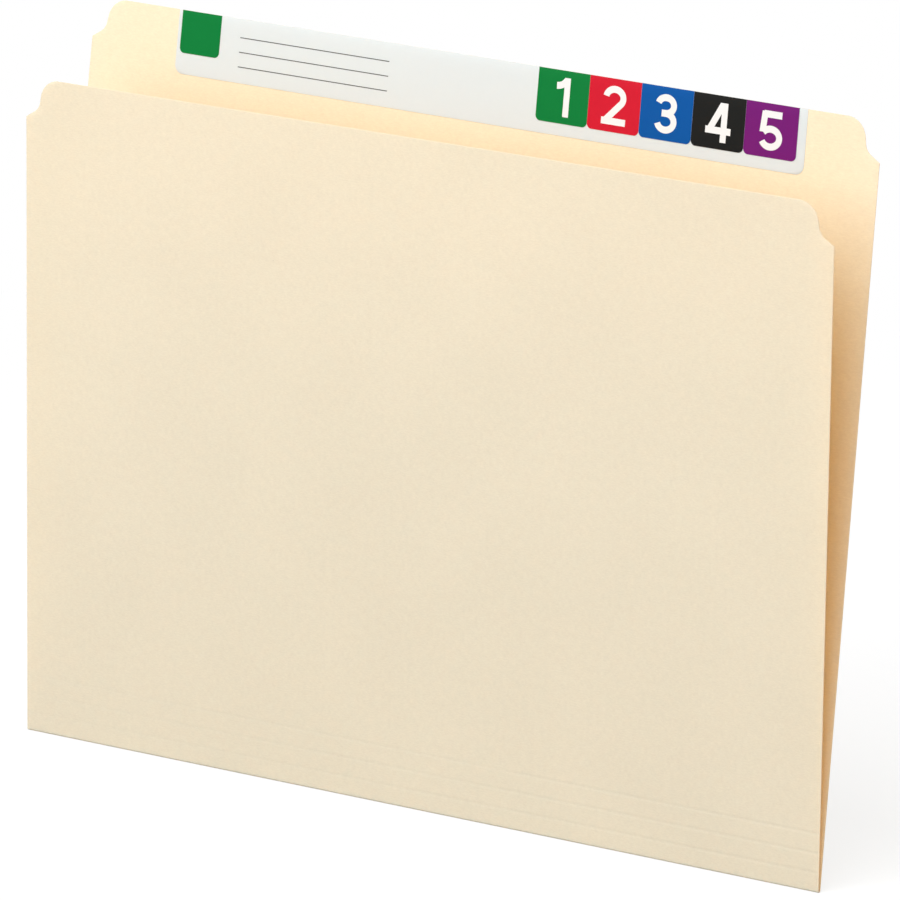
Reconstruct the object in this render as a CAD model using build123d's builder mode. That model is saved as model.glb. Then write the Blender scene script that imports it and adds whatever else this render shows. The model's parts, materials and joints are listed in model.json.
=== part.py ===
"""Letter-size manila folder, standing open on its bottom fold.

One sheet of card is folded into a tall back leaf, whose top edge is the straight-cut tab, and a shorter
front leaf. Three score lines above the fold let the base square off for a thicker stack of papers. A white
label with coloured stickers runs along the tab.

Frame: millimetres, +X along the fold, +Y towards the back leaf, +Z up. The origin is the middle of the
fold's lowest line.
"""
import os
from math import asin, cos, degrees, radians, sin

from build123d import *

os.makedirs("parts", exist_ok=True)

# Card sheet
sheet_thickness = 0.28
leaf_width = 298.45
back_height = 241.3
front_height = 219.075

# How the sheet is folded and how far it stands open
opening_angle = 6.5
fold_inner_radius = 0.35
closing_clearance_angle = 1.0

# Warp of the back leaf, whose left side leans further back than its right side
warp_angle = 2.65
warp_section_count = 9
warp_margin = 5.0

# Score lines pressed into the outside of the front leaf, for the squared-off base
score_count = 3
score_pitch = 6.35
score_depth = 0.07

# Die-cut step at each end of a leaf's top edge, measured from the leaf's side and from its top
crown_inset = 6.7
crown_radius = 7.0
root_inset = 5.0
root_drop = 9.9
root_radius = 4.5
shoulder_drop = 13.0
shoulder_radius = 0.6

# Layer of glue under the label and under each sticker
glue_thickness = 0.08

# White label on the tab's inside face, flush with the tab's top edge
label_width = 238.0
label_height = 20.6
label_thickness = 0.1
label_corner_radius = 3.0
label_right_margin = 26.7

# Green sticker at the label's left end
colour_tag_width = 15.5
colour_tag_height = 13.8
colour_tag_margin = 1.3
colour_tag_corner_radius = 1.8

# Number stickers side by side at the label's right end
number_tag_count = 5
number_tag_width = 19.2
number_tag_height = 16.8
number_tag_margin = 3.0
number_tag_corner_radius = 1.8
sticker_thickness = 0.08

# Worked out from the sizes above
fold_outer_radius = fold_inner_radius + sheet_thickness
front_lean = opening_angle * back_height / (back_height + front_height)
back_lean = opening_angle - front_lean
fold_centre = Vector(0, 0, fold_outer_radius)

# Unit directions square out of each leaf's outside face
front_out = Vector(0, -cos(radians(front_lean)), -sin(radians(front_lean)))
back_out = Vector(0, cos(radians(back_lean)), -sin(radians(back_lean)))

# Each leaf's own drawing plane: x along the fold, y up the leaf from where the fold's bend ends
back_outer_plane = Plane(fold_centre + back_out * fold_outer_radius, x_dir=(1, 0, 0), z_dir=-back_out)
front_inner_plane = Plane(fold_centre + front_out * fold_inner_radius, x_dir=(1, 0, 0), z_dir=front_out)

# The front leaf's cross-section plane: x from its inside face outwards, y up the leaf
front_section_plane = Plane(front_inner_plane.origin, x_dir=front_out, z_dir=(-1, 0, 0))

back_top = back_height - fold_outer_radius
front_top = front_height - fold_outer_radius
front_foot = score_count * score_pitch - fold_outer_radius
half_width = leaf_width / 2


def leaf_corners(foot, top):
    """Corners of a leaf's outline, from its lower left round to its left shoulder."""
    right_side = [
        (half_width, foot),
        (half_width, top - shoulder_drop),
        (half_width - root_inset, top - root_drop),
        (half_width - crown_inset, top),
    ]
    left_side = [(-x, y) for x, y in reversed(right_side)]
    return right_side + left_side


leaf_corner_radii = [0, shoulder_radius, root_radius, crown_radius]
leaf_corner_radii += list(reversed(leaf_corner_radii))


def hanging_corners(left, top, width, height):
    """Corners of a sticker that hangs down from a top edge."""
    return [(left, top), (left, top - height), (left + width, top - height), (left + width, top)]


def hanging_radii(radius):
    """Square upper corners and rounded lower corners."""
    return [0, radius, radius, 0]


def warp_plane(x):
    """Cross-section plane of the back leaf at x: its own x up the leaf, its y from the outside face inwards."""
    lean = radians(back_lean + warp_angle * (half_width - x) / leaf_width)
    return Plane(back_outer_plane.origin + Vector(x, 0, 0), x_dir=(0, sin(lean), cos(lean)), z_dir=(1, 0, 0))


def warped_layer(depth, thickness):
    """Layer at a depth from the back leaf's outside face, which reaches past the leaf all round."""
    left = -half_width - warp_margin
    pitch = (leaf_width + 2 * warp_margin) / (warp_section_count - 1)
    with BuildPart() as layer:
        for number in range(warp_section_count):
            with BuildSketch(warp_plane(left + number * pitch)):
                with Locations((-warp_margin, depth)):
                    Rectangle(back_top + 2 * warp_margin, thickness, align=(Align.MIN, Align.MIN))
        loft()
    return layer.part


# How far the outlines on the back leaf's plane are carried to reach all of its warp
cutting_reach = leaf_width / 4

# Back leaf
with BuildPart() as back_leaf:
    add(warped_layer(0, sheet_thickness))
    with BuildSketch(back_outer_plane):
        with BuildLine():
            FilletPolyline(leaf_corners(0, back_top), radius=leaf_corner_radii, close=True)
        make_face()
    extrude(amount=cutting_reach, both=True, mode=Mode.INTERSECT)
back_leaf.part.label = "back_leaf"
export_step(back_leaf.part, "parts/back_leaf.step")

# Front leaf, with half of the uppermost score line's groove along its foot
with BuildPart() as front_leaf:
    with BuildSketch(front_inner_plane):
        with BuildLine():
            FilletPolyline(leaf_corners(front_foot, front_top), radius=leaf_corner_radii, close=True)
        make_face()
    extrude(amount=sheet_thickness)
    foot_edges = front_leaf.edges().filter_by(Axis.X).sort_by(Axis.Z)[:2]
    chamfer(foot_edges.sort_by(Axis.Y)[0], length=score_depth)
front_leaf.part.label = "front_leaf"
export_step(front_leaf.part, "parts/front_leaf.step")

# Expansion strips between the fold and the front leaf, each with half a groove at its score lines
for number in range(1, score_count + 1):
    strip_top = number * score_pitch - fold_outer_radius
    strip_foot = max(strip_top - score_pitch, 0)
    scored_corners = 1 if number == 1 else 2
    with BuildPart() as expansion_strip:
        with BuildSketch(front_section_plane) as strip_section:
            with Locations((0, strip_foot)):
                Rectangle(sheet_thickness, strip_top - strip_foot, align=(Align.MIN, Align.MIN))
            outer_corners = strip_section.vertices().group_by(Axis.X)[-1].sort_by(Axis.Y)
            chamfer(outer_corners[-scored_corners:], length=score_depth)
        extrude(amount=half_width, both=True)
    expansion_strip.part.label = f"expansion_strip_{number}"
    export_step(expansion_strip.part, f"parts/expansion_strip_{number}.step")

# Bottom fold: the half-round bend that joins the leaves, given as sweep angles from the back leaf round to
# the front leaf. The inside of each end is cut back so that the leaf there can turn inwards to close.
section_centre = (0, fold_outer_radius)
bend_sweep = 180 - opening_angle


def relief_sweep(closing_angle):
    """Sweep taken off the inside of the bend for a leaf that turns about the outer edge of the bend's end."""
    angle = closing_angle + closing_clearance_angle
    radius_ratio = fold_outer_radius / fold_inner_radius
    return degrees(asin(radius_ratio * sin(radians(angle)))) - angle


back_relief = relief_sweep(back_lean)
front_relief = relief_sweep(front_lean)
with BuildPart() as bottom_fold:
    with BuildSketch(Plane.YZ):
        with BuildLine():
            outside = CenterArc(section_centre, fold_outer_radius, -back_lean, -bend_sweep)
            inside = CenterArc(
                section_centre, fold_inner_radius, -back_lean - back_relief, back_relief + front_relief - bend_sweep
            )
            Line(outside @ 0, inside @ 0)
            Line(outside @ 1, inside @ 1)
        make_face()
    extrude(amount=half_width, both=True)
bottom_fold.part.label = "bottom_fold"
export_step(bottom_fold.part, "parts/bottom_fold.step")

# White label strip on the tab
label_depth = sheet_thickness + glue_thickness
label_left = half_width - label_right_margin - label_width
with BuildPart() as label_strip:
    add(warped_layer(label_depth, label_thickness))
    with BuildSketch(back_outer_plane):
        with BuildLine():
            FilletPolyline(
                hanging_corners(label_left, back_top, label_width, label_height),
                radius=hanging_radii(label_corner_radius),
                close=True,
            )
        make_face()
    extrude(amount=cutting_reach, both=True, mode=Mode.INTERSECT)
label_strip.part.label = "label_strip"
export_step(label_strip.part, "parts/label_strip.step")

# Green colour tag on the label
sticker_layer = warped_layer(label_depth + label_thickness + glue_thickness, sticker_thickness)
colour_tag_left = label_left + colour_tag_margin
with BuildPart() as colour_tag:
    add(sticker_layer)
    with BuildSketch(back_outer_plane):
        with BuildLine():
            FilletPolyline(
                hanging_corners(colour_tag_left, back_top, colour_tag_width, colour_tag_height),
                radius=hanging_radii(colour_tag_corner_radius),
                close=True,
            )
        make_face()
    extrude(amount=cutting_reach, both=True, mode=Mode.INTERSECT)
colour_tag.part.label = "colour_tag"
export_step(colour_tag.part, "parts/colour_tag.step")

# Number tags in a row on the label
number_row_left = label_left + label_width - number_tag_margin - number_tag_count * number_tag_width
for number in range(1, number_tag_count + 1):
    tag_left = number_row_left + (number - 1) * number_tag_width
    with BuildPart() as number_tag:
        add(sticker_layer)
        with BuildSketch(back_outer_plane):
            with BuildLine():
                FilletPolyline(
                    hanging_corners(tag_left, back_top, number_tag_width, number_tag_height),
                    radius=hanging_radii(number_tag_corner_radius),
                    close=True,
                )
            make_face()
        extrude(amount=cutting_reach, both=True, mode=Mode.INTERSECT)
    number_tag.part.label = f"number_tag_{number}"
    export_step(number_tag.part, f"parts/number_tag_{number}.step")
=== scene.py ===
"""Looks of a letter-size manila folder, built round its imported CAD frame.

The folder is one sheet of buff card, folded at the bottom and scored above the fold, with a white label and
coloured stickers along the tab. Every piece of card and paper is a thin closed shell: a grid over the piece's
width and height, laid on its leaf, with an outside face, an inside face and a rounded cut edge.

Frame: metres, +X along the fold, +Y towards the back leaf, +Z up, as in the CAD model.
"""
import json
import math

import bmesh
import bpy
import numpy as np
from mathutils import Matrix, Vector


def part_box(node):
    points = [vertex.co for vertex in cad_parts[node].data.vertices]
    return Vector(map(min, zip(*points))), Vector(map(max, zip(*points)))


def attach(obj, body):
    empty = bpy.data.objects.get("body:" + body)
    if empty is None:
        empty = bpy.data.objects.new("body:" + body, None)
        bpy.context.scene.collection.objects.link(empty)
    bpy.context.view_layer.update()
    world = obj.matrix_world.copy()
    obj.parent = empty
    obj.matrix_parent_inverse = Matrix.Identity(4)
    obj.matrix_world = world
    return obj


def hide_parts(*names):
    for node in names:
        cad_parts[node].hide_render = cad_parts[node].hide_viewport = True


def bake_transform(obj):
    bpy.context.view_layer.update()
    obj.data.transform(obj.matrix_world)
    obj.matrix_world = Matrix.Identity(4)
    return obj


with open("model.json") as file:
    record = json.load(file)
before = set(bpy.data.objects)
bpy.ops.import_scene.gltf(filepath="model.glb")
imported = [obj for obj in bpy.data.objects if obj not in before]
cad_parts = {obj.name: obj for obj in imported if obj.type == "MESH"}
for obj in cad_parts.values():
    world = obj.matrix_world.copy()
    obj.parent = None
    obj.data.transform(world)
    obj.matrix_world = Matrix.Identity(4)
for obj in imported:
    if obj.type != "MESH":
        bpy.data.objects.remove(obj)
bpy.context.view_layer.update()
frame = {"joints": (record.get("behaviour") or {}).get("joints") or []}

bl_info = {
    "name": "Manila folder",
    "version": (1, 0, 0),
    "blender": (4, 5, 0),
    "location": "3D View > Sidebar > Folder",
    "description": "Card, label, stickers and stage of a letter-size manila folder",
    "category": "Object",
}

MM = 0.001
SCORED_STRIPS = ("expansion_strip_1", "expansion_strip_2", "expansion_strip_3")
NUMBER_TAGS = ("number_tag_1", "number_tag_2", "number_tag_3", "number_tag_4", "number_tag_5")
NUMBER_SLOTS = ("green_sticker", "red_sticker", "blue_sticker", "black_sticker", "purple_sticker")
PLACE = "sheet_place"
CUT_EDGE = "cut_edge"

# Share of a label's or sticker's layer that is glue under its paper
GLUE_SHARE = 0.06

# Points of a mesh nearer than this many metres are merged, and edges sharper than this angle stay crisp
MERGE_DISTANCE = 1e-7
CRISP_ANGLE = math.radians(50)

# How far the rows beside a score line go, in groove reaches, and the share of its depth at its left end
SCORE_SPREAD = 1.2
SCORE_FADE = 0.33

# How much thinner each further stroke of a digit is, so that crossing strokes keep apart
STROKE_STEP = 0.1

# Pattern of paper stock: repeats per metre, and shares and tones of its clouds, fibres and specks
CLOUD_SCALE = 22.0
CLOUD_SHARE = 0.6
MOTTLE_SCALE = 420.0
FIBRE_SCALE = 2400.0
FIBRE_STRETCH = (0.35, 1.0, 1.0)
FIBRE_HEIGHT = 0.65
SPECK_SCALE = 38.0
SPECK_CORE = 0.005
SPECK_RIM = 0.010
SPECK_TONE = 0.35
NOISE_MEAN = 0.5
PAPER_SHEEN = 0.08
BUMP_DEPTH = 0.05 * MM
WHITE = (1.0, 1.0, 1.0, 1.0)

# Strokes of the digits, in digit heights: straight runs as two ends, bends as centre, radius and two angles.
# A level stroke has its ends cut level, and any other has them cut square.
DIGIT_STROKES = {
    "1": (
        ("level", [((0.36, 1.0), (0.36, 0.0))]),
        ("square", [((0.09, 1.05), 0.27, -90, -25)]),
    ),
    "2": (
        ("square", [((0.31, 0.69), 0.22, 172, -40), ((0.4785, 0.5486), (0.105, 0.1034))]),
        ("square", [((0.0, 0.09), (0.62, 0.09))]),
    ),
    "3": (
        ("square", [((0.30, 0.71), 0.20, 165, -90), ((0.30, 0.51), (0.20, 0.51))]),
        ("square", [((0.20, 0.51), (0.31, 0.51)), ((0.31, 0.30), 0.21, 90, -165)]),
    ),
    "4": (
        ("level", [((0.46, 1.0), (0.46, 0.0))]),
        ("level", [((0.43, 1.0), (0.1005, 0.29))]),
        ("square", [((0.0, 0.29), (0.64, 0.29))]),
    ),
    "5": (
        ("square", [((0.12, 0.91), (0.57, 0.91))]),
        ("level", [((0.145, 0.98), (0.105, 0.45))]),
        ("square", [((0.31, 0.315), 0.225, 145, -155)]),
    ),
}


def length(name, description, millimetres):
    """Length property, with its default given in millimetres."""
    return bpy.props.FloatProperty(
        name=name, description=description, default=millimetres * MM, unit="LENGTH"
    )


def factor(name, description, default):
    """Property that is a share or a multiple."""
    return bpy.props.FloatProperty(name=name, description=description, default=default, subtype="FACTOR")


def watts(name, description, default):
    """Power of a lamp."""
    return bpy.props.FloatProperty(name=name, description=description, default=default, unit="POWER")


def triple(name, description, *default):
    """Place in metres or direction, along X, Y and Z."""
    return bpy.props.FloatVectorProperty(
        name=name, description=description, default=default, size=3, subtype="XYZ"
    )


def colour(name, description, *default):
    """Colour property, with its red, green and blue in linear light."""
    return bpy.props.FloatVectorProperty(
        name=name, description=description, default=default, size=3, subtype="COLOR", min=0.0, max=1.0
    )


class FolderCard(bpy.types.PropertyGroup):
    """Sizes of the card, its cut edges, its score lines and its warp"""

    thickness: length("Card thickness", "Thickness of the card sheet", 0.28)
    edge_round: length("Edge rounding", "Reach of the rounding along a cut edge", 0.12)
    crown_inset: length("Crown inset", "How far the top corner stands in from the side", 6.7)
    crown_radius: length("Crown radius", "Rounding of the top corner", 7.0)
    root_inset: length("Root inset", "How far the hollow of the step stands in from the side", 5.0)
    root_drop: length("Root drop", "Hollow of the step below the top edge", 9.9)
    root_radius: length("Root radius", "Rounding in the hollow of the step", 4.5)
    shoulder_drop: length("Shoulder drop", "Shoulder of the step below the top edge", 13.0)
    shoulder_radius: length("Shoulder radius", "Rounding of the shoulder", 0.6)
    score_depth: length("Score depth", "Depth of a score line's groove", 0.053)
    score_reach: length("Score reach", "Half the width of a score line's groove", 0.9)
    warp: bpy.props.FloatProperty(
        name="Warp",
        description="Extra lean of the back leaf's left side",
        default=math.radians(2.65),
        subtype="ANGLE",
    )


class FolderTab(bpy.types.PropertyGroup):
    """Sizes of the label, the stickers and what is printed on them"""

    label_height: length("Label height", "Height of the white label", 20.6)
    label_thickness: length("Label thickness", "Label paper and its glue", 0.13)
    label_corner: length("Label corner", "Rounding of the label's lower corners", 3.0)
    colour_tag_height: length("Colour tag height", "Height of the plain sticker", 13.8)
    number_tag_height: length("Number tag height", "Height of a number sticker", 16.8)
    sticker_thickness: length("Sticker thickness", "Sticker paper and its glue", 0.11)
    sticker_corner: length("Sticker corner", "Rounding of a sticker's lower corners", 1.8)
    paper_round: length("Paper edge", "Reach of the rounding along a paper edge", 0.05)
    digit_height: length("Digit height", "Height of a printed digit", 12.3)
    digit_stroke: length("Digit stroke", "Width of a digit's stroke", 2.15)
    digit_breadth: factor("Digit breadth", "How much a digit is widened across", 1.17)
    print_thickness: length("Print thickness", "Thickness of the printed layer", 0.02)
    ruling_width: length("Ruling width", "Width of a ruled line", 0.3)
    ruling_length: length("Ruling length", "Length of a ruled line", 58.0)
    ruling_pitch: length("Ruling pitch", "Distance from one ruled line to the next", 4.7)
    ruling_margin: length("Ruling margin", "Ruled lines from the label's left end", 24.5)
    ruling_rise: length("Ruling rise", "Lowest ruled line above the label's lower edge", 5.2)


class FolderColours(bpy.types.PropertyGroup):
    """Colours of the card, the label and the stickers"""

    card: colour("Card", "Buff card, where it throws light back", 0.905, 0.92, 0.755)
    glow: colour("Glow", "Buff card, where light comes through it", 0.92, 0.56, 0.05)
    glow_share: factor("Glow share", "How much light comes through the card", 0.3)
    cut: colour("Cut edge", "Raw edge of the card", 0.95, 0.93, 0.80)
    label: colour("Label", "White label paper", 0.80, 0.85, 0.86)
    label_glow: colour("Label glow", "White label paper, where light comes through it", 0.92, 0.92, 0.88)
    label_share: factor("Label share", "How much light comes through the label", 0.25)
    digits: colour("Digits", "White of the printed digits", 0.80, 0.80, 0.79)
    ruling: colour("Ruled lines", "Ink of the ruled lines", 0.10, 0.10, 0.10)
    green_sticker: colour("Green", "Green stickers", 0.0, 0.175, 0.033)
    red_sticker: colour("Red", "Red sticker", 0.57, 0.008, 0.025)
    blue_sticker: colour("Blue", "Blue sticker", 0.0, 0.08, 0.32)
    black_sticker: colour("Black", "Black sticker", 0.007, 0.007, 0.006)
    purple_sticker: colour("Purple", "Purple sticker", 0.155, 0.007, 0.15)


class FolderStage(bpy.types.PropertyGroup):
    """Floor, light and camera"""

    floor_radius: length("Floor radius", "Reach of the floor", 6000.0)
    floor_drop: length("Floor drop", "Gap from the fold down to the floor", 0.02)
    floor_tone: factor("Floor tone", "How much light the floor throws back", 0.4)
    floor_pale: factor("Floor paleness", "How pale the floor looks where the shadow shows", 0.95)
    shadow_share: factor("Shadow", "How strongly the floor shows the shadow", 0.35)
    shadow_near: length("Shadow near", "Distance at which the shadow starts to fade", 250.0)
    shadow_far: length("Shadow far", "Distance at which the shadow is gone", 800.0)
    sky_strength: factor("Sky", "Strength of the light from all round", 0.36)
    box_size: length("Box size", "Side of a soft box", 1400.0)
    aim_height: length("Aim height", "Height on the folder that the soft boxes face", 150.0)
    front_place: triple("Front place", "Place of the soft box in front", -0.7, -1.8, 0.6)
    front_power: watts("Front light", "Power of the soft box in front", 15.5)
    top_place: triple("Top place", "Place of the soft box above", 0.05, -1.05, 1.6)
    top_power: watts("Top light", "Power of the soft box above", 28.5)
    back_place: triple("Back place", "Place of the soft box behind", 0.3, 1.9, 0.5)
    back_power: watts("Back light", "Power of the soft box behind", 37.0)
    camera_place: triple("Camera place", "Place of the camera", 1.3869, -2.2324, 0.7072)
    camera_right: triple("Camera right", "Way to the camera's right", 0.84482443, 0.53328307, 0.04336874)
    camera_look: triple("Camera look", "Way the camera looks", -0.51276751, 0.83013182, -0.21897634)
    lens: bpy.props.FloatProperty(
        name="Lens", description="Focal length on a 36 mm sensor", default=341.89, subtype="DISTANCE_CAMERA"
    )


class Leaf:
    """One leaf's axes, taken from its hinge: a point on the hinge line, the way up and the way out."""

    def __init__(self, joint_name, node, side):
        joint = next(joint for joint in frame["joints"] if joint["name"] == joint_name)
        self.hinge = np.array(joint["pos_m"])
        self.lean = -math.radians(joint["range_deg"][0])
        self.side = side
        self.up = np.array((0.0, side * math.sin(self.lean), math.cos(self.lean)))
        self.out = np.array((0.0, side * math.cos(self.lean), -math.sin(self.lean)))
        self.half_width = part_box(node)[1].x

    def top_of(self, node, thickness):
        """Distance up the leaf to the top of a CAD node, whose highest point is on the leaf's inside face."""
        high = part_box(node)[1]
        return (high.z - self.hinge[2] - thickness * math.sin(self.lean)) / math.cos(self.lean)


back = Leaf("back_cover", "back_leaf", 1)
front = Leaf("front_cover", "front_leaf", -1)
bend_radius = back.hinge[1] / math.cos(back.lean)


def on_leaf(leaf, x, height, lift, extra_lean):
    """Place on a leaf that has an extra lean of w.

    hinge + X x + height (up + out tan w) + lift (out cos w - up sin w)
    """
    turn = extra_lean[..., None]
    along = x[..., None] * np.array((1.0, 0.0, 0.0))
    rise = height[..., None] * (leaf.up + np.tan(turn) * leaf.out)
    raised = lift[..., None] * (np.cos(turn) * leaf.out - np.sin(turn) * leaf.up)
    return leaf.hinge + along + rise + raised


def on_back_leaf(x, height, lift):
    """Place on the back leaf, whose extra lean grows evenly from its right side to its left."""
    share = (back.half_width - x) / (2.0 * back.half_width)
    return on_leaf(back, x, height, lift, bpy.context.scene.folder_card.warp * share)


def on_front_leaf(x, height, lift):
    """Place on the front leaf, which is flat."""
    return on_leaf(front, x, height, lift, np.zeros_like(x))


def on_bend(leaf):
    """Place on one half of the bend: centre + (R + lift) (sin a, -cos a), with a round from the bottom."""

    def place(x, distance, lift):
        angle = distance / bend_radius
        radius = bend_radius + lift
        across = leaf.side * radius * np.sin(angle)
        rise = bend_radius - radius * np.cos(angle)
        return np.stack([x, across, rise], axis=-1)

    return place


def rounded_corner(before, corner, after, radius, steps):
    """Arc that rounds a corner of an outline: centre - n r cos(a) + t r sin(a), for a up to the turn."""
    before, corner, after = (np.array(point) for point in (before, corner, after))
    inward = (corner - before) / np.linalg.norm(corner - before)
    outward = (after - corner) / np.linalg.norm(after - corner)
    cross = inward[0] * outward[1] - inward[1] * outward[0]
    turn = math.acos(float(np.clip(inward @ outward, -1.0, 1.0)))
    normal = math.copysign(1.0, cross) * np.array((-inward[1], inward[0]))
    centre = corner - inward * radius * math.tan(turn / 2) + normal * radius
    angle = np.linspace(0.0, turn, steps)[:, None]
    return centre - normal * radius * np.cos(angle) + inward * radius * np.sin(angle)


def rim(distance, reach):
    """Share of the thickness left at a distance in from a cut edge: a quarter circle over the reach."""
    return np.sqrt(1.0 - (1.0 - np.clip(distance / reach, 0.0, 1.0)) ** 2)


def edge_steps(reach):
    """Distances in from a cut edge at which the rounding is drawn."""
    return reach * (1.0 - np.cos(np.linspace(0.0, math.pi / 2, 5)))


class Outline:
    """Rows up a piece, each with its height, its half width and its share of the thickness."""

    def __init__(self, height, half_width, top_reach=0.0, foot_reach=0.0):
        height = np.asarray(height, float)
        fill = np.ones_like(height)
        if top_reach:
            fill = fill * rim(height[-1] - height, top_reach)
        if foot_reach:
            fill = fill * rim(height - height[0], foot_reach)
        ends = (0 if foot_reach else 1, 0 if top_reach else 1)
        self.height = np.pad(height, ends, mode="edge")
        self.half_width = np.pad(np.broadcast_to(half_width, height.shape), ends, mode="edge")
        self.fill = np.pad(fill, ends)
        self.cut = np.pad(1.0 - fill, ends)

    def grid(self, reach, columns, centre=0.0):
        """Grid over the outline: x = u (half width - reach) + rim step, with height, fill and cut edges."""
        steps = edge_steps(reach)[:-1]
        side = np.ones(len(steps))
        slope = np.concatenate([-side, np.linspace(-1.0, 1.0, columns), side])
        shift = np.concatenate([steps - reach, np.zeros(columns), (reach - steps)[::-1]])
        across = np.concatenate([rim(steps, reach), np.ones(columns), rim(steps, reach)[::-1]])
        x = slope * (self.half_width[:, None] - reach) + shift + centre
        height = np.broadcast_to(self.height[:, None], x.shape)
        cut = np.maximum(self.cut[:, None], 1.0 - across)
        return x, height, self.fill[:, None] * across, cut


def shell(place, grid, thickness, base=0.0, press=None, run=1.0, start=0.0):
    """Closed shell over a grid: faces at base + t/2 f and base - t/2 f, which meet where the fill f is none.

    press moves both faces inwards. The sheet's own place, for its pattern, is x, start + run height and lift.
    """
    x, height, fill, cut = grid
    middle = base - (press(x, height) * fill if press else np.zeros_like(x))
    half = thickness / 2 * fill
    faces = []
    for lift in (middle + half, middle - half):
        points = place(x, height, lift)
        sheet = np.stack([x, start + run * height, lift], axis=-1)
        faces.append(np.concatenate([points, sheet, cut[..., None]], axis=-1))
    outside, inside = faces
    return np.concatenate([outside, inside[:, -2:0:-1]], axis=1)


def sheet_object(name, *shells):
    """Object of one or more shells: grids whose columns close, merged, faced outwards and shaded."""
    faces, points, first = [], [], 0
    for ring in shells:
        rows, columns = ring.shape[:2]
        corner = first + np.arange(rows * columns).reshape(rows, columns)
        following = np.roll(corner, -1, axis=1)
        quads = np.stack([corner[:-1], following[:-1], following[1:], corner[1:]], axis=-1)
        faces.append(quads.reshape(-1, 4))
        points.append(ring.reshape(-1, ring.shape[2]))
        first += rows * columns
    points = np.concatenate(points)
    mesh = bpy.data.meshes.new(name)
    mesh.from_pydata(points[:, :3].tolist(), [], np.concatenate(faces).tolist())
    if points.shape[1] > 3:
        place = mesh.attributes.new(PLACE, "FLOAT_VECTOR", "POINT")
        place.data.foreach_set("vector", points[:, 3:6].astype(np.float32).ravel())
        edge = mesh.attributes.new(CUT_EDGE, "FLOAT", "POINT")
        edge.data.foreach_set("value", points[:, 6].astype(np.float32))
    edit = bmesh.new()
    edit.from_mesh(mesh)
    bmesh.ops.remove_doubles(edit, verts=edit.verts, dist=MERGE_DISTANCE)
    bmesh.ops.recalc_face_normals(edit, faces=edit.faces)
    edit.to_mesh(mesh)
    edit.free()
    mesh.shade_smooth()
    mesh.set_sharp_from_angle(angle=CRISP_ANGLE)
    piece = bpy.data.objects.new(name, mesh)
    bpy.context.scene.collection.objects.link(piece)
    return piece


def leaf_outline(leaf, foot, top, scored):
    """Rows up a leaf: its side, then the die-cut step's shoulder, root and crown, up to its top edge."""
    card = bpy.context.scene.folder_card
    half = leaf.half_width
    shoulder = (half, top - card.shoulder_drop)
    root = (half - card.root_inset, top - card.root_drop)
    crown = (half - card.crown_inset, top)
    arcs = np.concatenate([
        rounded_corner((half, foot), shoulder, root, card.shoulder_radius, steps=5),
        rounded_corner(shoulder, root, crown, card.root_radius, steps=9),
        rounded_corner(root, crown, (0.0, top), card.crown_radius, steps=25),
    ])
    side = np.linspace(foot, arcs[0, 1], 44)[:-1]
    if scored:
        near = foot + score_rows(card.score_reach)
        side = np.concatenate([near, side[side > near[-1]]])
    height = np.concatenate([side, arcs[:, 1]])
    half_width = np.concatenate([np.full(len(side), half), arcs[:, 0]])
    return Outline(height, half_width, top_reach=card.edge_round)


def score_rows(reach):
    """Distances from a score line at which its groove is drawn."""
    return reach * np.linspace(0.0, SCORE_SPREAD, 9)


def score_lines():
    """Heights of the three score lines up the front leaf."""
    thickness = bpy.context.scene.folder_card.thickness
    return [front.top_of(strip, thickness) for strip in SCORED_STRIPS]


def score_press(x, height):
    """How far the score lines press the card in: d (1 + cos(pi s / r)) / 2, lighter to the left."""
    card = bpy.context.scene.folder_card
    gap = np.min(np.abs(height[..., None] - np.array(score_lines())), axis=-1)
    groove = 0.5 * (1.0 + np.cos(math.pi * np.clip(gap / card.score_reach, 0.0, 1.0)))
    along = (x + front.half_width) / (2.0 * front.half_width)
    return card.score_depth * groove * (SCORE_FADE + (1.0 - SCORE_FADE) * along)


def bend_length(leaf):
    """Distance round the bend from the bottom to where a leaf begins."""
    return (math.pi / 2 - leaf.lean) * bend_radius


def front_card(name, outline):
    """Piece of the front leaf's card over an outline, pressed in along the score lines."""
    card = bpy.context.scene.folder_card
    grid = outline.grid(card.edge_round, columns=81)
    base = -card.thickness / 2
    start = -bend_length(front)
    ring = shell(on_front_leaf, grid, card.thickness, base, press=score_press, run=-1.0, start=start)
    return sheet_object(name, ring)


def tab_layers(*layers):
    """Middle of the uppermost of some layers on the tab's inside, as a lift from its outside face."""
    card = bpy.context.scene.folder_card
    return -card.thickness - sum(layers) + layers[-1] / 2


def sticker(node, height, corner, *layers):
    """Sticker hung from the tab's top edge, with round lower corners: w/2 - r + sqrt(r^2 - (r - s)^2)."""
    scene = bpy.context.scene
    reach = scene.folder_tab.paper_round
    low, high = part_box(node)
    top = back.top_of("back_leaf", scene.folder_card.thickness)
    rounded = corner * (1.0 - np.cos(np.linspace(0.0, math.pi / 2, 13)))
    upper = height - edge_steps(reach)[::-1]
    rise = np.concatenate([rounded, np.linspace(corner, upper[0], 6)[1:], upper[1:]])
    half_width = (high.x - low.x) / 2 - corner + np.sqrt(corner**2 - np.clip(corner - rise, 0.0, corner) ** 2)
    outline = Outline(top - height + rise, half_width, top_reach=reach, foot_reach=reach)
    grid = outline.grid(reach, columns=61, centre=(low.x + high.x) / 2)
    paper = layers[-1] * (1.0 - GLUE_SHARE)
    ring = shell(on_back_leaf, grid, paper, tab_layers(*layers), start=bend_length(back))
    return sheet_object(f"{node}_paper", ring)


def run_points(run):
    """Points along one run of a stroke: a straight run, or an arc centre + r (cos a, sin a)."""
    if len(run) == 2:
        return np.linspace(run[0], run[1], 12)
    centre, radius, first, last = run
    angle = np.radians(np.linspace(first, last, 40))
    return np.array(centre) + radius * np.stack([np.cos(angle), np.sin(angle)], axis=-1)


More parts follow.
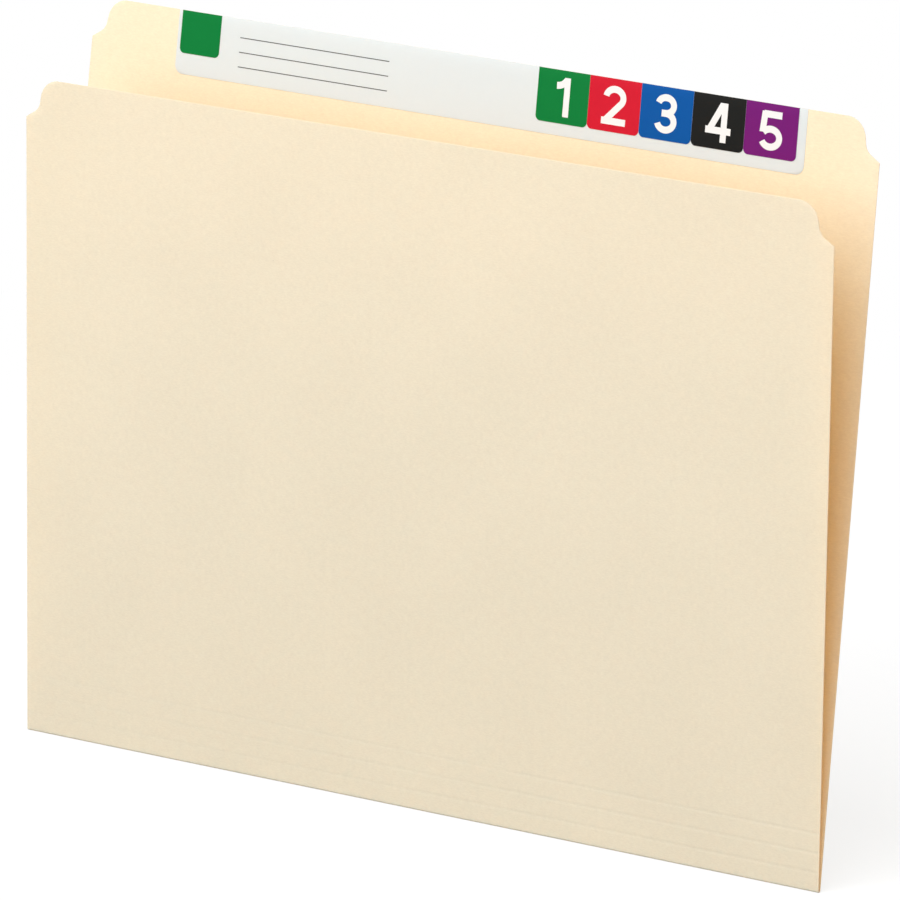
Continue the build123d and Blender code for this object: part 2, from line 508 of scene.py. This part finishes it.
def stroke_grid(ends, runs, width, thickness_share=1.0, breadth=1.0):
    """Grid over a printed stroke: path + u n w/2, for u from -1 to 1, with n square to the path or level."""
    path = np.concatenate([run_points(run) for run in runs]) * np.array((breadth, 1.0))
    step = np.linalg.norm(np.diff(path, axis=0), axis=1)
    path = path[np.concatenate([[True], step > 1e-6])]
    along = np.gradient(path, axis=0)
    along = along / np.linalg.norm(along, axis=1)[:, None]
    normal = np.stack([along[:, 1], -along[:, 0]], axis=-1)
    if ends == "level":
        normal = np.stack([1.0 / normal[:, 0], np.zeros(len(path))], axis=-1)
    across = np.array([-1.0, -1.0, 0.0, 1.0, 1.0])
    fill = np.array([0.0, 1.0, 1.0, 1.0, 0.0])
    rows = np.concatenate([[0], np.arange(len(path)), [len(path) - 1]])
    filled = np.ones(len(rows))
    filled[[0, -1]] = 0.0
    points = path[rows, None] + across[:, None] * normal[rows, None] * width / 2
    fill = filled[:, None] * fill * thickness_share
    return points[..., 0], points[..., 1], fill, np.zeros_like(fill)


def printed(name, grids, left, foot, *layers):
    """Printed strokes laid on the tab with their origin at a place on it."""
    rings = []
    for x, height, fill, cut in grids:
        grid = (x + left, height + foot, fill, cut)
        rings.append(shell(on_back_leaf, grid, layers[-1], tab_layers(*layers), start=bend_length(back)))
    return sheet_object(name, *rings)


def digit(text, node):
    """Digit in the middle of a number sticker, made of strokes of one width."""
    scene = bpy.context.scene
    tab = scene.folder_tab
    grids = []
    width = tab.digit_stroke / tab.digit_height
    for number, (ends, runs) in enumerate(DIGIT_STROKES[text]):
        ink = 1.0 - STROKE_STEP * number
        x, height, fill, cut = stroke_grid(ends, runs, width, ink, tab.digit_breadth)
        grids.append((x * tab.digit_height, height * tab.digit_height, fill, cut))
    left = min(grid[0].min() for grid in grids)
    right = max(grid[0].max() for grid in grids)
    low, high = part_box(node)
    top = back.top_of("back_leaf", scene.folder_card.thickness)
    foot = top - tab.number_tag_height / 2 - tab.digit_height / 2
    layers = (tab.label_thickness, tab.sticker_thickness, tab.print_thickness)
    return printed(f"digit_{text}", grids, (low.x + high.x) / 2 - (left + right) / 2, foot, *layers)


def label_rulings():
    """Three ruled lines one above the other near the label's left end."""
    scene = bpy.context.scene
    tab = scene.folder_tab
    rise = tab.ruling_rise + tab.ruling_pitch * np.arange(3)
    grids = [stroke_grid("square", [((0.0, y), (tab.ruling_length, y))], tab.ruling_width) for y in rise]
    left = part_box("label_strip")[0].x + tab.ruling_margin
    foot = back.top_of("back_leaf", scene.folder_card.thickness) - tab.label_height
    return printed("label_rulings", grids, left, foot, tab.label_thickness, tab.print_thickness)


class Nodes:
    """Short calls for making and joining the nodes of one tree."""

    def __init__(self, tree):
        self.tree = tree

    def add(self, kind, inputs=None, **settings):
        """Node of a kind, with its settings, and with its inputs set or linked by name or place."""
        node = self.tree.nodes.new(kind)
        for key, value in settings.items():
            setattr(node, key, value)
        for key, value in (inputs or {}).items():
            if isinstance(value, bpy.types.NodeSocket):
                self.tree.links.new(value, node.inputs[key])
            else:
                node.inputs[key].default_value = value
        return node

    def math(self, operation, first, second=0.0):
        """Result of a sum on two values."""
        return self.add("ShaderNodeMath", {0: first, 1: second}, operation=operation).outputs[0]

    def scaled(self, vector, scale):
        """Colour or place times a value."""
        return self.add("ShaderNodeVectorMath", {0: vector, 3: scale}, operation="SCALE").outputs[0]

    def noise(self, place, scale, detail, roughness=0.5):
        """Noise from 0 to 1, with its mean near a half."""
        inputs = {"Vector": place, "Scale": scale, "Detail": detail, "Roughness": roughness}
        return self.add("ShaderNodeTexNoise", inputs).outputs["Fac"]

    def stretched(self, place, scale):
        """Place with its axes scaled."""
        return self.add("ShaderNodeMapping", {"Vector": place, "Scale": scale}).outputs[0]

    def ramp(self, value, low, high, first, last):
        """Smooth step of a value from one range to another."""
        inputs = {"Value": value, 1: low, 2: high, 3: first, 4: last}
        return self.add("ShaderNodeMapRange", inputs, interpolation_type="SMOOTHSTEP").outputs[0]

    def mix(self, share, first, second):
        """Mix of two colours."""
        return self.add("ShaderNodeMix", {0: share, 6: first, 7: second}, data_type="RGBA").outputs[2]

    def seen(self):
        """One where the camera looks, also in a mirror or through glass."""
        path = self.add("ShaderNodeLightPath").outputs
        either = self.math("MAXIMUM", path["Is Camera Ray"], path["Is Glossy Ray"])
        return self.math("MAXIMUM", either, path["Is Transmission Ray"])


def paper_fibre():
    """Node group of paper stock: clouds, fine mottling, fibres along the grain and a few dark specks."""
    name = "paper_fibre"
    if name in bpy.data.node_groups:
        return bpy.data.node_groups[name]
    group = bpy.data.node_groups.new(name, "ShaderNodeTree")
    sockets = (
        ("Place", "NodeSocketVector", "INPUT"),
        ("Paper", "NodeSocketColor", "INPUT"),
        ("Cut Colour", "NodeSocketColor", "INPUT"),
        ("Cut Edge", "NodeSocketFloat", "INPUT"),
        ("Mottle", "NodeSocketFloat", "INPUT"),
        ("Fibre", "NodeSocketFloat", "INPUT"),
        ("Speck", "NodeSocketFloat", "INPUT"),
        ("Color", "NodeSocketColor", "OUTPUT"),
        ("Height", "NodeSocketFloat", "OUTPUT"),
    )
    for socket, kind, direction in sockets:
        group.interface.new_socket(name=socket, socket_type=kind, in_out=direction)
    nodes = Nodes(group)
    given = nodes.add("NodeGroupInput").outputs
    cloud = nodes.noise(given["Place"], CLOUD_SCALE, detail=2.0)
    mottle = nodes.noise(given["Place"], MOTTLE_SCALE, detail=3.0, roughness=0.6)
    grain_place = nodes.stretched(given["Place"], FIBRE_STRETCH)
    fibre = nodes.noise(grain_place, FIBRE_SCALE, detail=2.0, roughness=0.65)
    shade = nodes.math("ADD", nodes.math("MULTIPLY", cloud, CLOUD_SHARE), mottle)
    shade = nodes.math("SUBTRACT", shade, NOISE_MEAN * (CLOUD_SHARE + 1.0))
    shade = nodes.math("MULTIPLY", shade, given["Mottle"])
    grain = nodes.math("MULTIPLY", nodes.math("SUBTRACT", fibre, NOISE_MEAN), given["Fibre"])
    level = nodes.math("ADD", nodes.math("ADD", shade, grain), 1.0)
    cell = nodes.add("ShaderNodeTexVoronoi", {"Vector": given["Place"], "Scale": SPECK_SCALE})
    drawn = nodes.add("ShaderNodeSeparateColor", {0: cell.outputs["Color"]}).outputs[0]
    dot = nodes.ramp(cell.outputs["Distance"], SPECK_CORE, SPECK_RIM, 1.0, 0.0)
    dot = nodes.math("MULTIPLY", nodes.math("MULTIPLY", dot, drawn), given["Speck"])
    speck = nodes.scaled(given["Paper"], SPECK_TONE)
    specked = nodes.mix(dot, nodes.scaled(given["Paper"], level), speck)
    edged = nodes.mix(given["Cut Edge"], specked, given["Cut Colour"])
    raised = nodes.math("MULTIPLY", fibre, FIBRE_HEIGHT)
    height = nodes.math("ADD", raised, nodes.math("MULTIPLY", mottle, 1.0 - FIBRE_HEIGHT))
    nodes.add("NodeGroupOutput", {"Color": edged, "Height": height})
    return group


def paper_material(name, paper, cut, mottle, fibre, speck, roughness, bump):
    """Paper or card stock: the fibre group over the sheet's own place, with a fine bump."""
    material = bpy.data.materials.new(name)
    material.use_nodes = True
    tree = material.node_tree
    nodes = Nodes(tree)
    inputs = {
        "Place": nodes.add("ShaderNodeAttribute", attribute_name=PLACE).outputs["Vector"],
        "Paper": (*paper, 1.0),
        "Cut Colour": (*cut, 1.0),
        "Cut Edge": nodes.add("ShaderNodeAttribute", attribute_name=CUT_EDGE).outputs["Fac"],
        "Mottle": mottle,
        "Fibre": fibre,
        "Speck": speck,
    }
    stock = nodes.add("ShaderNodeGroup", inputs, node_tree=paper_fibre())
    relief = {"Strength": bump, "Distance": BUMP_DEPTH, "Height": stock.outputs["Height"]}
    rise = nodes.add("ShaderNodeBump", relief)
    surface = tree.nodes["Principled BSDF"]
    tree.links.new(stock.outputs["Color"], surface.inputs["Base Color"])
    tree.links.new(rise.outputs[0], surface.inputs["Normal"])
    surface.inputs["Roughness"].default_value = roughness
    surface.inputs["Specular IOR Level"].default_value = PAPER_SHEEN
    return material


def let_light_through(material, glow, share):
    """Mix of a paper's surface with the light that comes through it from behind."""
    tree = material.node_tree
    nodes = Nodes(tree)
    surface = tree.nodes["Principled BSDF"].outputs[0]
    through = nodes.add("ShaderNodeBsdfTranslucent", {"Color": (*glow, 1.0)}).outputs[0]
    both = nodes.add("ShaderNodeMixShader", {0: share, 1: surface, 2: through}).outputs[0]
    tree.links.new(both, tree.nodes["Material Output"].inputs["Surface"])


def once(name, make):
    """Material of a name, made the first time that it is asked for."""
    finish = f"{name}_finish"
    return bpy.data.materials.get(finish) or make(finish)


def manila_card(name):
    """Buff card: matt, cloudy and fibrous, with lighter cut edges and an amber glow from behind."""
    colours = bpy.context.scene.folder_colours
    finish = {"mottle": 0.11, "fibre": 0.20, "speck": 0.5, "roughness": 0.85, "bump": 0.35}
    material = paper_material(name, colours.card, colours.cut, **finish)
    let_light_through(material, colours.glow, colours.glow_share)
    return material


def label_paper(name):
    """White label paper: smoother and cleaner than the card, and it lets some light through too."""
    colours = bpy.context.scene.folder_colours
    finish = {"mottle": 0.02, "fibre": 0.04, "speck": 0.0, "roughness": 0.6, "bump": 0.15}
    material = paper_material(name, colours.label, colours.label, **finish)
    let_light_through(material, colours.label_glow, colours.label_share)
    return material


def sticker_print(slot):
    """Maker of a printed sticker of one colour: an even ink on smooth paper with a slight gloss."""

    def make(name):
        colours = bpy.context.scene.folder_colours
        finish = {"mottle": 0.05, "fibre": 0.08, "speck": 0.0, "roughness": 0.42, "bump": 0.1}
        return paper_material(name, getattr(colours, slot), colours.label, **finish)

    return make


def digit_print(name):
    """White of the digits on the number stickers."""
    white = bpy.context.scene.folder_colours.digits
    finish = {"mottle": 0.02, "fibre": 0.03, "speck": 0.0, "roughness": 0.45, "bump": 0.05}
    return paper_material(name, white, white, **finish)


def ruling_print(name):
    """Ink of the label's ruled lines."""
    ink = bpy.context.scene.folder_colours.ruling
    finish = {"mottle": 0.1, "fibre": 0.2, "speck": 0.0, "roughness": 0.5, "bump": 0.05}
    return paper_material(name, ink, ink, **finish)


def dress(piece, body, slot, material, *nodes):
    """Material, body and replaced CAD nodes of a piece. The record slot argument is not used."""
    piece.data.materials.append(material)
    if body:
        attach(piece, body)
    if nodes:
        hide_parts(*nodes)


def dress_card(piece, body, node):
    """Buff card finish of a piece of the folder's sheet."""
    dress(piece, body, "manila_card", once("manila_card", manila_card), node)


class FOLDER_OT_back_leaf(bpy.types.Operator):
    """Build the warped back leaf with its straight-cut tab"""

    bl_idname = "folder.back_leaf"
    bl_label = "Back leaf"

    def execute(self, context):
        card = context.scene.folder_card
        top = back.top_of("back_leaf", card.thickness)
        grid = leaf_outline(back, 0.0, top, scored=False).grid(card.edge_round, columns=101)
        ring = shell(on_back_leaf, grid, card.thickness, -card.thickness / 2, start=bend_length(back))
        dress_card(sheet_object("back_leaf_card", ring), "back", "back_leaf")
        return {"FINISHED"}


class FOLDER_OT_bottom_fold(bpy.types.Operator):
    """Build the bend at the bottom in two halves, one curving up towards each leaf"""

    bl_idname = "folder.bottom_fold"
    bl_label = "Bottom fold"

    def execute(self, context):
        card = context.scene.folder_card
        for leaf, body in ((back, "back"), (front, "front")):
            outline = Outline(np.linspace(0.0, bend_length(leaf), 13), leaf.half_width)
            grid = outline.grid(card.edge_round, columns=81)
            ring = shell(on_bend(leaf), grid, card.thickness, -card.thickness / 2, run=leaf.side)
            piece = sheet_object(f"bottom_fold_{body}_half", ring)
            dress_card(piece, None, "bottom_fold")
            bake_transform(piece)
        return {"FINISHED"}


class FOLDER_OT_scored_strips(bpy.types.Operator):
    """Build the three scored strips between the bottom fold and the front leaf"""

    bl_idname = "folder.scored_strips"
    bl_label = "Scored strips"

    def execute(self, context):
        lines = score_lines()
        near = score_rows(context.scene.folder_card.score_reach)
        for node, foot, top in zip(SCORED_STRIPS, [0.0, *lines], lines):
            outline = Outline(np.concatenate([foot + near, (top - near)[::-1]]), front.half_width)
            dress_card(front_card(f"{node}_card", outline), "front", node)
        return {"FINISHED"}


class FOLDER_OT_front_leaf(bpy.types.Operator):
    """Build the front leaf above the uppermost score line"""

    bl_idname = "folder.front_leaf"
    bl_label = "Front leaf"

    def execute(self, context):
        top = front.top_of("front_leaf", context.scene.folder_card.thickness)
        outline = leaf_outline(front, score_lines()[-1], top, scored=True)
        dress_card(front_card("front_leaf_card", outline), "front", "front_leaf")
        return {"FINISHED"}


class FOLDER_OT_label(bpy.types.Operator):
    """Build the white label along the tab, with three ruled lines to write on"""

    bl_idname = "folder.label"
    bl_label = "Label"

    def execute(self, context):
        tab = context.scene.folder_tab
        piece = sticker("label_strip", tab.label_height, tab.label_corner, tab.label_thickness)
        dress(piece, "back", "label_paper", once("label_paper", label_paper), "label_strip")
        dress(label_rulings(), "back", "label_paper", once("label_ruling", ruling_print))
        return {"FINISHED"}


class FOLDER_OT_colour_tag(bpy.types.Operator):
    """Build the plain green sticker at the label's left end"""

    bl_idname = "folder.colour_tag"
    bl_label = "Colour tag"

    def execute(self, context):
        tab = context.scene.folder_tab
        slot = "green_sticker"
        layers = (tab.label_thickness, tab.sticker_thickness)
        piece = sticker("colour_tag", tab.colour_tag_height, tab.sticker_corner, *layers)
        dress(piece, "back", slot, once(slot, sticker_print(slot)), "colour_tag")
        return {"FINISHED"}


class FOLDER_OT_number_tags(bpy.types.Operator):
    """Build the row of number stickers and their white digits"""

    bl_idname = "folder.number_tags"
    bl_label = "Number tags"

    def execute(self, context):
        tab = context.scene.folder_tab
        layers = (tab.label_thickness, tab.sticker_thickness)
        for text, node, slot in zip(DIGIT_STROKES, NUMBER_TAGS, NUMBER_SLOTS):
            piece = sticker(node, tab.number_tag_height, tab.sticker_corner, *layers)
            dress(piece, "back", slot, once(slot, sticker_print(slot)), node)
            dress(digit(text, node), "back", "label_paper", once("digit_white", digit_print))
        return {"FINISHED"}


class FOLDER_OT_stage(bpy.types.Operator):
    """Lay the pale floor and set the light and the camera"""

    bl_idname = "folder.stage"
    bl_label = "Stage"

    def execute(self, context):
        scene = context.scene
        stage = scene.folder_stage
        scene.view_settings.view_transform = "Standard"
        lay_floor(stage)
        light_sky(scene, stage)
        hang_soft_box(stage, "front_box", stage.front_place, stage.front_power)
        hang_soft_box(stage, "top_box", stage.top_place, stage.top_power)
        hang_soft_box(stage, "back_box", stage.back_place, stage.back_power)
        place_camera(scene, stage)
        return {"FINISHED"}


def lay_floor(stage):
    """Flat round floor, drawn as rings round the object: (r cos a, r sin a, a little below the fold)."""
    rings = np.linspace(0.0, stage.floor_radius, 7)
    turns = np.radians(np.arange(0.0, 360.0, 7.5))
    radius, angle = np.meshgrid(rings, turns, indexing="ij")
    drop = np.full_like(radius, -stage.floor_drop)
    points = np.stack([radius * np.cos(angle), radius * np.sin(angle), drop], axis=-1)
    floor = sheet_object("floor", points)
    floor.data.materials.append(floor_material(stage))


def floor_material(stage):
    """Pale floor: nearly white to the camera, with a soft shadow, and dimmer where it lights the object."""
    material = bpy.data.materials.new("pale_floor")
    material.use_nodes = True
    tree = material.node_tree
    nodes = Nodes(tree)
    tree.nodes.remove(tree.nodes["Principled BSDF"])
    dim_tone, pale_tone = ((tone, tone, tone, 1.0) for tone in (stage.floor_tone, stage.floor_pale))
    dim = nodes.add("ShaderNodeBsdfDiffuse", {"Color": dim_tone}).outputs[0]
    pale = nodes.add("ShaderNodeBsdfDiffuse", {"Color": pale_tone}).outputs[0]
    white = nodes.add("ShaderNodeEmission", {"Color": WHITE, "Strength": 1.0}).outputs[0]
    place = nodes.add("ShaderNodeTexCoord").outputs["Object"]
    away = nodes.add("ShaderNodeVectorMath", {0: place}, operation="LENGTH").outputs["Value"]
    share = nodes.ramp(away, stage.shadow_near, stage.shadow_far, stage.shadow_share, 0.0)
    lit = nodes.add("ShaderNodeMixShader", {0: share, 1: white, 2: pale}).outputs[0]
    both = nodes.add("ShaderNodeMixShader", {0: nodes.seen(), 1: dim, 2: lit}).outputs[0]
    tree.links.new(both, tree.nodes["Material Output"].inputs["Surface"])
    return material


def light_sky(scene, stage):
    """White sky: plain white to the camera, and a softer even light on the object."""
    world = bpy.data.worlds.new("white_sky")
    world.use_nodes = True
    tree = world.node_tree
    nodes = Nodes(tree)
    background = tree.nodes["Background"]
    background.inputs["Color"].default_value = WHITE
    level = nodes.ramp(nodes.seen(), 0.0, 1.0, stage.sky_strength, 1.0)
    tree.links.new(level, background.inputs["Strength"])
    scene.world = world


def hang_soft_box(stage, name, place, power):
    """Square soft box at a place, facing the folder."""
    lamp = bpy.data.lights.new(name, "AREA")
    lamp.shape = "SQUARE"
    lamp.size = stage.box_size
    lamp.energy = power
    box = bpy.data.objects.new(name, lamp)
    box.location = place
    aim = Vector((0.0, 0.0, stage.aim_height)) - box.location
    box.rotation_euler = aim.to_track_quat("-Z", "Y").to_euler()
    bpy.context.scene.collection.objects.link(box)


def place_camera(scene, stage):
    """Camera at the photograph's viewing angle, from its place, its line of sight and its right-hand side."""
    right = Vector(stage.camera_right)
    look = Vector(stage.camera_look)
    lens = bpy.data.cameras.new("camera")
    lens.lens = stage.lens
    lens.sensor_width = 36.0
    lens.clip_end = 50.0
    camera = bpy.data.objects.new("camera", lens)
    turn = Matrix((right, right.cross(look), -look)).transposed().to_4x4()
    camera.matrix_world = Matrix.Translation(stage.camera_place) @ turn
    scene.collection.objects.link(camera)
    scene.camera = camera


OPERATORS = (
    FOLDER_OT_stage,
    FOLDER_OT_back_leaf,
    FOLDER_OT_bottom_fold,
    FOLDER_OT_scored_strips,
    FOLDER_OT_front_leaf,
    FOLDER_OT_label,
    FOLDER_OT_colour_tag,
    FOLDER_OT_number_tags,
)


class FOLDER_PT_panel(bpy.types.Panel):
    """Pieces of the folder and its stage"""

    bl_idname = "FOLDER_PT_panel"
    bl_label = "Manila folder"
    bl_space_type = "VIEW_3D"
    bl_region_type = "UI"
    bl_category = "Folder"

    def draw(self, context):
        for operator in OPERATORS:
            self.layout.operator(operator.bl_idname)


SETTINGS = {
    "folder_card": FolderCard,
    "folder_tab": FolderTab,
    "folder_colours": FolderColours,
    "folder_stage": FolderStage,
}
CLASSES = (*SETTINGS.values(), *OPERATORS, FOLDER_PT_panel)


def register():
    """Register the classes and put their settings on the scene."""
    for item in CLASSES:
        bpy.utils.register_class(item)
    for name, group in SETTINGS.items():
        setattr(bpy.types.Scene, name, bpy.props.PointerProperty(type=group))


def unregister():
    """Take the settings and the classes away again."""
    for name in SETTINGS:
        delattr(bpy.types.Scene, name)
    for item in reversed(CLASSES):
        bpy.utils.unregister_class(item)


def main():
    register()
    for operator in OPERATORS:
        category, action = operator.bl_idname.split(".")
        getattr(getattr(bpy.ops, category), action)()


if __name__ == "__main__":
    main()
